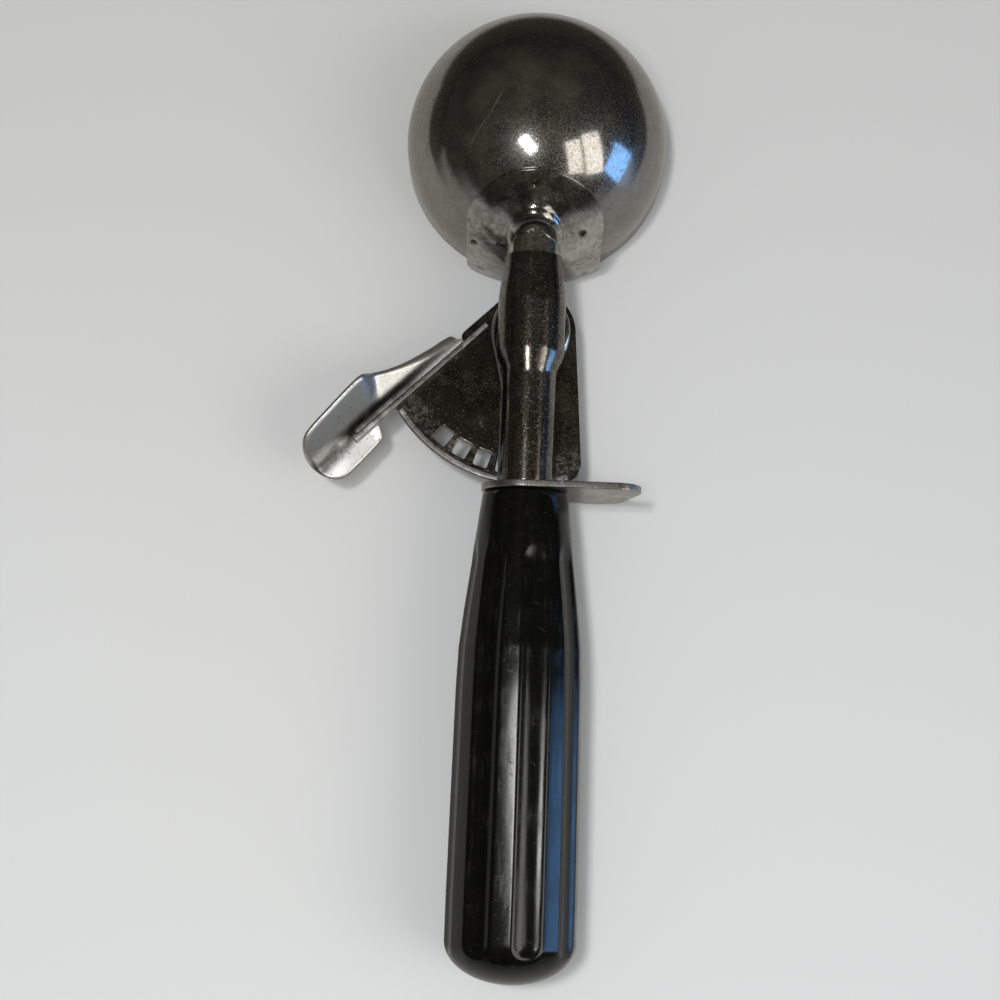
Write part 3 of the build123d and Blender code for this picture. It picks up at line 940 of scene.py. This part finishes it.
# %% Blade
blade_radius = 27.8 * MM
blade_wall = 0.8 * MM
blade_half = 4.0 * MM
blade_round = 0.15 * MM
round_share = 0.09


def blade_place(u, v):
    swing = math.radians(-90 + 180 * u)
    across = blade_half * (2 * v - 1)
    end = 1 - min((1 - abs(2 * u - 1)) / round_share, 1.0)
    across *= math.sqrt(max(1 - end * end, 0.0)) if end > 0 else 1.0
    ring = math.sqrt(blade_radius**2 - across**2)
    x = -ring * math.cos(swing)
    return Vector((x, ring * math.sin(swing), axis_height + across))


blade = formed_grid("blade_strip", 120, 10, blade_place)
thicken(blade, blade_wall, blade_round, 2)
dress(blade, "scraper_blade")

# %% [markdown]
# ## Thumb lever
#
# The lever is one sheet: a flat tab, a bend along the valley, and a pad that slopes up to
# a rolled free edge. Across it runs a crease, where the wing beside the shank turns into
# the steeper pad. Sizes here are in millimetres, in the lever's own directions: far is
# along the sector's flange, and out is away from it. First come its two edges.

# %% Thumb lever edges
lever_angle = math.radians(46.2)
lever_along = Vector((-math.sin(lever_angle), -math.cos(lever_angle), 0))
lever_out = Vector((-math.cos(lever_angle), math.sin(lever_angle), 0))
lever_foot = 10.07
lever_wall = 1.1
lever_round = 0.25
lever_start = 12.8
lever_end = 55.3
# (distance along the flange, how far out the sheet's edge lies)
free_edge = (
    (12.8, 9.9), (13.1, 10.7), (14.0, 11.3), (20.0, 12.1), (25.5, 13.1), (29.0, 14.2),
    (32.3, 15.6), (34.4, 16.2), (37.0, 16.25), (45.0, 15.6), (50.0, 15.1), (52.4, 14.5),
    (53.9, 13.4), (54.8, 12.0), (55.2, 10.8), (55.3, 9.9),
)
near_edge = (
    (12.8, 7.85), (37.4, 7.85), (38.2, 6.9), (38.9, 5.2), (39.8, 4.1), (41.2, 3.6),
    (50.0, 2.85), (51.8, 3.1), (53.4, 4.2), (54.5, 6.0), (55.1, 8.0), (55.3, 9.6),
)


def through(points, place):
    """A smooth value through a list of (place, value)."""
    last = len(points) - 2
    index = max(k for k in range(last + 1) if points[k][0] <= max(place, points[0][0]))
    (x0, y0), (x1, y1) = points[index], points[index + 1]
    before = points[max(index - 1, 0)]
    after = points[min(index + 2, last + 1)]
    slope_in = (y1 - before[1]) / (x1 - before[0])
    slope_out = (after[1] - y0) / (after[0] - x0)
    run = x1 - x0
    t = min((place - x0) / run, 1.0)
    rise = y0 * (1 + 2 * t) * (1 - t) ** 2 + y1 * t * t * (3 - 2 * t)
    return rise + run * (slope_in * t * (1 - t) ** 2 - slope_out * t * t * (1 - t))


print("sheet's width half way, mm:", round(through(free_edge, 34) - through(near_edge, 34), 1))

# %% [markdown]
# ## Thumb lever sheet
#
# The height of the sheet is a sum of simple terms: a slope beyond the valley with a round
# bend before it, a roll that turns the free edge down, and a little lip on the tab. It is a
# grid again, closer at its ends and at its free edge, where it turns most.

# %% Thumb lever sheet
valley = 9.0
wing_slope = 0.62
pad_slope = 1.08
tab_start, tab_run = 38.0, 3.0
tab_droop = 0.12
tight_bend, wide_bend = 0.8, 2.0
bend_opens, bend_run = 42.0, 8.0
crease_far, crease_out, crease_run = 31.0, 16.0, 4.0
crease_slant = 0.55
least_roll, more_roll = 1.2, 1.5
roll_start, roll_run = 14.0, 15.0
roll_slope = 0.8
lip = 0.9
lip_share = 0.45


def lever_place(u, v):
    even = 0.5 * u + 0.25 * (1 - math.cos(math.pi * u))
    far = lever_start + (lever_end - lever_start) * even
    inner = through(near_edge, far)
    outer = through(free_edge, far)
    out = inner + (outer - inner) * (1 - (1 - v) ** 1.4)
    tab = soft_step((far - tab_start) / tab_run)
    bend = tight_bend + (wide_bend - tight_bend) * soft_step((far - bend_opens) / bend_run)
    beyond = out - valley
    crease = soft_step((far + crease_slant * (out - crease_out) - crease_far) / crease_run)
    steep = wing_slope + (pad_slope - wing_slope) * crease
    slope = steep * min(max((beyond + bend) / (2 * bend), 0.0), 1.0)
    if beyond > bend:
        rise = beyond * steep
    else:
        rise = max(beyond + bend, 0.0) ** 2 / (4 * bend) * steep
    rise -= tab * tab_droop * max(-beyond - bend, 0.0)
    roll = least_roll + more_roll * (1 - soft_step((far - roll_start) / roll_run))
    side_gap = max(outer - out, 1e-6)
    end_gap = max(lever_end - far, 1e-6)
    gap = side_gap * end_gap / math.hypot(side_gap, end_gap)
    rise -= (slope + roll_slope) * max(roll - gap, 0.0) ** 2 / (2 * roll)
    gap = max(lip - (out - inner), 0.0)
    rise -= tab * lip_share * (lip - math.sqrt(lip**2 - gap**2))
    flat = lever_along * far * MM + lever_out * out * MM
    height = (lever_foot + lever_wall + rise) * MM
    return Vector((flat.x, pivot_y + flat.y, height))


lever = formed_grid("lever_sheet", 160, 56, lever_place, flip=True)
thicken(lever, (lever_wall - 0.15) * MM, lever_round * MM)

# %% [markdown]
# ## The lever's leg and finish
#
# A second strip, the leg, stands on edge against the sector's flange, where the two are
# welded. A strip on edge is a primitive cube at its size and place with a bevel. The lever
# is brighter than the rest, because thumbs keep it clean, and painted shade darkens the
# valley.

# %% Leg and finish
leg_inner = 7.83
leg_top = 14.0
leg_span = (lever_start, 43.4)


def upright(name, inner, span, bottom, top):
    """A strip that stands on edge along the flange, in millimetres, with round edges."""
    middle = lever_along * sum(span) / 2 + lever_out * (inner + lever_wall / 2)
    bpy.ops.object.select_all(action="DESELECT")
    bpy.ops.mesh.primitive_cube_add(
        size=1.0,
        location=(middle.x * MM, pivot_y + middle.y * MM, (bottom + top) / 2 * MM),
        rotation=(0, 0, math.atan2(lever_along.y, lever_along.x)),
        scale=((span[1] - span[0]) * MM, lever_wall * MM, (top - bottom) * MM),
    )
    strip = bpy.context.object
    strip.name = name
    bpy.ops.object.transform_apply(location=True, rotation=True, scale=True)
    finish_modifier(strip, "BEVEL", width=lever_round * MM, segments=3)
    return strip


def join_to(main, *others):
    """Makes several objects one."""
    only(main)
    for other in others:
        other.select_set(True)
    bpy.ops.object.join()


def valley_painted_shade(place):
    """Painted shade in the valley beside the leg, which runs on into the fold."""
    far = place.towards(lever_along) - pivot_y * lever_along.y
    out = place.towards(lever_out) - pivot_y * lever_out.y
    fold = far.band(42 * MM, 54 * MM) * (1.3 * MM)
    off = out - valley * MM + fold
    # Painted shade: a dark band along the valley, bending out into the fold.
    beside = 1 - off.math("ABSOLUTE").band(0.7 * MM, 2.6 * MM)
    edge = place.noise(2.5, 3.0).band(0.30, 0.55) * 0.3 + 0.7
    return beside * far.band(18 * MM, 30 * MM) * edge * 0.85


finishes["lever_steel"] = worn_steel(
    "lever_steel", grey(0.72, 0.01), grey(0.56, 0.02), 0.36, 0.7, 0.5, 0.4, 0.05, valley_painted_shade
)
leg = upright("lever_leg", leg_inner, leg_span, lever_foot, leg_top)
join_to(lever, leg)
dress(lever, "thumb_lever", 50)

# %% [markdown]
# ## Sector
#
# The sector is a plate with a row of windows that work as teeth. First come its outline
# and its windows, as closed loops of points round the pivot, in millimetres.

# %% Sector outline
sector_radius = 33.8
hub_radius = 9.9
sector_bottom = 10.07
sector_thick = 1.2
band_end = 12.3
flange_inner = 6.7
flange_outer = flange_inner + lever_wall
right_edge = Vector((10.0, 0.0))
window_radius = 29.8
window_angles = (232.4, 241.8, 251.2, 260.6, 270.0)
window_size = (3.6, 3.2)


def polar(radius, degrees):
    """A point round the pivot."""
    turn = math.radians(degrees)
    return Vector((radius * math.cos(turn), radius * math.sin(turn)))


def in_lever(out, far):
    """A point in the lever's own directions."""
    return (lever_out * out + lever_along * far).to_2d()


def soft_corner(before, corner, after, size, steps=8):
    """Points that round a corner over a length on both sides."""
    start = corner + (before - corner).normalized() * size
    end = corner + (after - corner).normalized() * size
    shares = [step / steps for step in range(steps + 1)]
    return [start.lerp(corner, t).lerp(corner.lerp(end, t), t) for t in shares]


def sector_points():
    """The plate's edge, anticlockwise from the right of the hub."""
    flange_far = math.sqrt(sector_radius**2 - flange_outer**2)
    start = 223.8 - math.degrees(math.atan2(flange_outer, flange_far))
    edge = [polar(hub_radius, 133.8 * k / 40) for k in range(41)]
    edge += soft_corner(
        in_lever(hub_radius, 0), in_lever(hub_radius, band_end), in_lever(0, band_end), 1.9
    )
    edge.append(in_lever(flange_outer, band_end))
    edge += [polar(sector_radius, start + (285.0 - start) * k / 70) for k in range(71)]
    corner = polar(sector_radius, 291.0)
    edge += soft_corner(polar(sector_radius, 286.0), corner, right_edge, 3.0)[1:]
    return edge


def window_points(degrees):
    """A rounded window, clockwise, so that it's cut out of the plate."""
    radial, wide = window_size
    out = polar(1.0, degrees)
    side = polar(1.0, degrees + 90)
    centre = out * window_radius
    signs = ((1, 1), (1, -1), (-1, -1), (-1, 1))
    corners = [centre + out * a * radial / 2 + side * b * wide / 2 for a, b in signs]
    points = []
    for k in range(4):
        points += soft_corner(corners[k - 1], corners[k], corners[(k + 1) % 4], 0.5, 4)
    return points


post_hole = [polar(2.6, -360 * k / 40) for k in range(40)]
loops = [sector_points(), post_hole]
loops += [window_points(degrees) for degrees in window_angles]
print("loops of the sector:", len(loops))

# %% [markdown]
# ## Sector plate
#
# A flat curve can be filled, given a thickness and rounded edges in one go, and its inner
# loops become the holes. A low bead follows the foot, and the flange stands up along the
# left edge. The plating is nearly gone: the plate is brown and dark, and bright where
# something rubs, on the flange, the bead and between the windows. On the flange, the bead's
# top and the plate's edges that bright is partly wear and partly painted highlight, set by
# height.

# %% Plate from loops


def round_edged(name, loops, bottom, thick, ease):
    """A plate from closed loops in millimetres round the pivot, with round edges."""
    outline = bpy.data.curves.new(name, "CURVE")
    outline.dimensions = "2D"
    outline.fill_mode = "BOTH"
    outline.extrude = (thick / 2 - ease) * MM
    outline.bevel_depth = ease * MM
    outline.bevel_resolution = 3
    outline.offset = -ease * MM
    for loop in loops:
        spline = outline.splines.new("POLY")
        spline.points.add(len(loop) - 1)
        spline.use_cyclic_u = True
        for point, place in zip(spline.points, loop):
            point.co = (place.x * MM, place.y * MM, 0.0, 1.0)
    plate = put(name, outline)
    plate.location = (0, pivot_y, (bottom + thick / 2) * MM)
    only(plate)
    bpy.ops.object.convert(target="MESH")
    bpy.ops.object.transform_apply(location=True, rotation=True, scale=True)
    edit_merged()
    bpy.ops.mesh.normals_make_consistent(inside=False)
    bpy.ops.object.mode_set(mode="OBJECT")
    return bpy.context.object


# %% Sector finish


def wear_and_painted_highlights(place):
    """The teeth between the windows, bright with wear, and by height the flange, the bead and
    the plate's edges, where the bright is partly wear and partly painted highlight.
    """
    flat = place.node("ShaderNodeVectorMath", {0: place, 1: (1, 1, 0)}, operation="MULTIPLY")
    radius = flat.away((0, pivot_y / MM, 0))
    height = place.along("Z")
    # Painted highlights: the tops above 11.3 mm and a ring on the plate's edges go lighter.
    high = height.band(11.30 * MM, 11.60 * MM)
    edge = height.band(10.80 * MM, 10.95 * MM) * (1 - height.band(11.12 * MM, 11.24 * MM))
    teeth = radius.band(27.2 * MM, 28.4 * MM) * place.noise(1.0, 4.0).band(0.42, 0.58) * 0.30
    worn = high.math("MAXIMUM", teeth).math("MAXIMUM", edge)
    return worn * (place.noise(0.8, 3.0).band(0.30, 0.50) * 0.5 + 0.5)


def brown_stain(place):
    """A brown stain that is strongest beside the flange."""
    left = 1 - place.along("X").band(-6 * MM, 8 * MM)
    return left * place.noise(6.0, 4.0).band(0.35, 0.55) * 0.6


finishes["sector_steel"] = worn_steel(
    "sector_steel",
    grey(0.24, 0.14), grey(0.05, 0.30), 0.12, 1.0, 1.0, 0.3, 0.10, brown_stain, wear_and_painted_highlights,
)

# %% Sector plate
sector = round_edged("sector_sheet", loops, sector_bottom, sector_thick, 0.3)
bead_outer = [polar(sector_radius - 0.05, 213.0 + 73.0 * k / 60) for k in range(61)]
bead_inner = [polar(sector_radius - 1.55, 286.0 - 73.0 * k / 60) for k in range(61)]
bead = round_edged("sector_bead", [bead_outer + bead_inner], sector_bottom + 0.5, 1.2, 0.35)
flange = upright("sector_flange", flange_inner, (6.2, 44.6), 11.2, leg_top)
join_to(sector, bead, flange)
dress(sector, "sector_plate", 40)

# %% [markdown]
# ## The other sheets and turned pieces
#
# The rest already has its true shape in the model, but every edge there is knife sharp,
# and a real edge always catches light. Each gets a copy of its node: the loose triangles
# are merged, flat ones are dissolved into whole faces, and a bevel eases the edges.

# %% Eased copies


def eased(node, name, width, segments=2):
    """A copy of a node with its edges eased."""
    source = frame["nodes"][node]
    piece = put(name, source.data.copy())
    only(piece)
    edit_merged()
    bpy.ops.mesh.dissolve_limited(angle_limit=math.radians(0.5))
    bpy.ops.object.mode_set(mode="OBJECT")
    ease_edges(piece, width, segments, 40)
    dress(piece, node)


guard_round = 0.3 * MM
small_round = 0.12 * MM
eased("guard_plate", "guard_sheet", guard_round, 3)
small_pieces = {
    "bowl_bush": "bowl_bushing",
    "rear_bush": "rear_bushing",
    "shaft_washer": "thrust_ring",
    "scraper_shaft": "long_shaft",
    "blade_hub": "blade_collar",
    "tip_stud": "tip_rivet",
    "stud_collar": "rivet_collar",
    "pinion": "pinion_wheel",
    "pinion_pin": "cross_pin",
    "pivot_post": "pivot_rivet",
    "pivot_washer": "pivot_ring",
    "spring_core": "coil_core",
    "tang": "tang_rod",
    "handle_insert": "grip_sleeve",
}
for node, name in small_pieces.items():
    eased(node, name, small_round)
print("eased pieces:", 1 + len(small_pieces))

# %% [markdown]
# ## Table
#
# The table is a pale satin board, a hair below the scoop. A mirror shows everything round
# it, and a board that went on for ever would make all steel white. So what the steel
# mirrors of it is pale only near the scoop, and dark where a real table would end.

# %% Table
table_drop = 0.00002
painted_lit_floor_near = (0.64, 0.65, 0.65, 1.0)
painted_dim_floor_far = (0.52, 0.52, 0.51, 1.0)
mirror_pale = (0.44, 0.43, 0.40, 1.0)
mirror_dark = (0.050, 0.046, 0.032, 1.0)
bpy.ops.object.select_all(action="DESELECT")
bpy.ops.mesh.primitive_plane_add(size=4.0, location=(0, 0, -table_drop))
table = bpy.context.object
table.name = "table"
board, board_shader, board_place = new_finish("table_top")
board_shader.inputs["Roughness"].default_value = 0.55
board_shader.inputs["Specular IOR Level"].default_value = 0.2
seen = board_place.node("ShaderNodeLightPath", {}, "Is Glossy Ray")
wide = board_place.along("X").math("ABSOLUTE").band(0.080, 0.100)
wide = wide * board_place.along("Y").band(-0.06, -0.01)
far = board_place.along("Y").band(0.045, 0.062)
dark = wide.math("MAXIMUM", far)
# Painted light: the table is lighter towards -Y, near the lamps, and dimmer beyond the bowl.
pale = board_place.along("Y").band(-0.25, 0.06).mix(painted_lit_floor_near, painted_dim_floor_far)
mirrored = dark.mix(mirror_pale, mirror_dark)
feed(board_shader, Base_Color=seen.mix(pale, mirrored))
table.data.materials.append(board)
print("table:", table.name)

# %% [markdown]
# ## Room
#
# The room matters as much as the lamps. It lights the table evenly, but what the steel
# mirrors of it is dim: cluttered walls, a little lighter overhead, and a pale doorway low
# down past the handle.

# %% Room
clutter_scale = 2.2
room = bpy.data.worlds.new("room")
bpy.context.scene.world = room
room.use_nodes = True
way = Link(room.node_tree.nodes.new("ShaderNodeTexCoord").outputs["Generated"])
glossy = way.node("ShaderNodeLightPath", {}, "Is Glossy Ray")
clutter = way.node("ShaderNodeTexNoise", {"Vector": way, "Scale": clutter_scale, "Detail": 1.0})
clutter = clutter.band(0.42, 0.62)
low = clutter.mix((0.030, 0.031, 0.030, 1.0), (0.050, 0.048, 0.036, 1.0))
high = clutter.mix((0.062, 0.060, 0.050, 1.0), (0.125, 0.117, 0.088, 1.0))
seen_room = way.along("Z").band(0.0, 0.95).mix(low, high)
doorway = (1 - way.along("Y").band(-0.7, -0.3)) * (1 - way.along("Z").band(0.08, 0.25))
seen_room = doorway.mix(seen_room, (0.34, 0.34, 0.33, 1.0))
shade = glossy.mix((0.36, 0.365, 0.37, 1.0), seen_room)
background = room.node_tree.nodes["Background"]
room.node_tree.links.new(shade.output, background.inputs["Color"])
print("nodes in the room:", len(room.node_tree.nodes))

# %% [markdown]
# ## Lamps
#
# Every lamp is a panel, because a panel is also what the steel mirrors. Two panes make a
# window with a bar between them, a low blue one stands for the sky, and a small near one
# gives the sharp highlights. The one overhead gives the soft shadow, and isn't mirrored.

# %% Lamps


def panel(name, place, size, power, colour=(1, 1, 1), roll=0.0, shift=0.0, aim=(0, -0.05, 0.02)):
    """A soft lamp that faces the scoop, rolled by degrees and shifted along its own X."""
    light = bpy.data.lights.new(name, "AREA")
    light.shape = "RECTANGLE"
    light.size, light.size_y = size
    light.energy = power
    light.color = colour
    lamp = put(name, light)
    facing = (Vector(aim) - Vector(place)).to_track_quat("-Z", "Y").to_matrix().to_4x4()
    facing = facing @ Matrix.Rotation(math.radians(roll), 4, "Z")
    lamp.matrix_world = Matrix.Translation(place) @ facing @ Matrix.Translation((shift, 0, 0))
    return lamp


window_place = (0.97, -0.50, 0.99)
cream = (1.0, 0.97, 0.88)
panel("window_pane", window_place, (0.36, 0.72), 2.6, cream, -45, -0.24)
panel("window_pane_wide", window_place, (0.44, 0.84), 3.7, cream, -45, 0.22)
panel("blue_window", (1.41, -0.33, 0.25), (0.56, 0.56), 4.2, (0.22, 0.50, 1.0))
panel("near_lamp", (-0.064, -0.140, 0.43), (0.12, 0.07), 0.42, (1, 1, 1), aim=(0, -0.09, 0))
overhead = panel("overhead", (-0.27, -0.04, 1.3), (0.14, 0.14), 7.0)
overhead.visible_glossy = False
print("lamps:", len(bpy.data.lights))

# %% [markdown]
# ## View
#
# The look is kept plain, so the Standard view is used.

# %% View transform
bpy.context.scene.view_settings.view_transform = "Standard"
